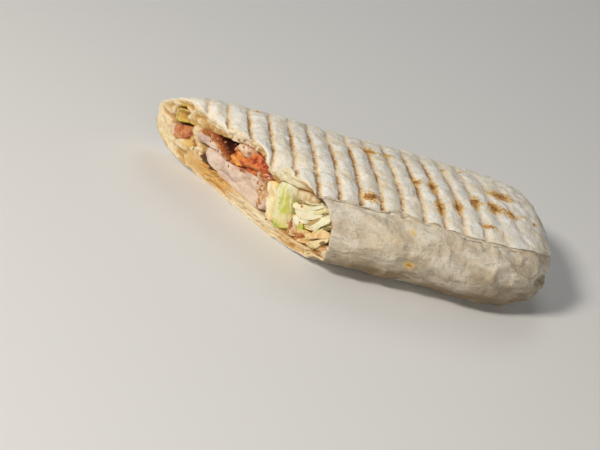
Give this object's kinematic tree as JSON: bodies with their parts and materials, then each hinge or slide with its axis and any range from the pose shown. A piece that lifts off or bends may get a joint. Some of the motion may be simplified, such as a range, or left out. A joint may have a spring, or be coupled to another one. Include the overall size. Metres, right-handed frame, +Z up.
{
  "type": "half of a grilled chicken wrap",
  "caption": "Half of a grilled flatbread wrap, cut on the slant, with chicken, red pepper, tomato, onion, lettuce and cabbage showing at the cut and a folded far end.",
  "frame": {"origin": "the middle of the wrap's box seen from above, on the surface that it rests on", "axes": "+X runs along the wrap from the slanted cut to the folded end, +Y points across it to the side of the cut's long corner, +Z is up"},
  "size_m": [0.1517, 0.0769, 0.0295],
  "materials": {
    "flatbread": "dry floury thin bread with brown marks of the grill",
    "chicken": "moist cooked chicken, cut across its grain",
    "browned_chicken": "browned spiced edge of roast chicken",
    "pepper": "wet cooked red pepper in sauce",
    "onion": "soft translucent onion",
    "cabbage": "pale cabbage in sauce",
    "sauce_cabbage": "shredded cabbage soaked in orange sauce",
    "lettuce": "crisp pale green rib of a lettuce leaf",
    "leaf": "thin olive green leaf",
    "tomato": "juicy pink-red tomato"
  },
  "bodies": {
    "root": {"flatbread": "flatbread", "chicken_slice": "chicken", "chicken_browned": "browned_chicken", "pepper_small": "pepper", "pepper_large": "pepper", "onion_piece": "onion", "onion_layer": "onion", "cabbage_leaf": "cabbage", "cabbage_shreds": "cabbage", "cabbage_in_sauce": "sauce_cabbage", "lettuce_rib": "lettuce", "pocket_leaf": "leaf", "tomato_piece": "tomato"}
  },
  "joints": []
}
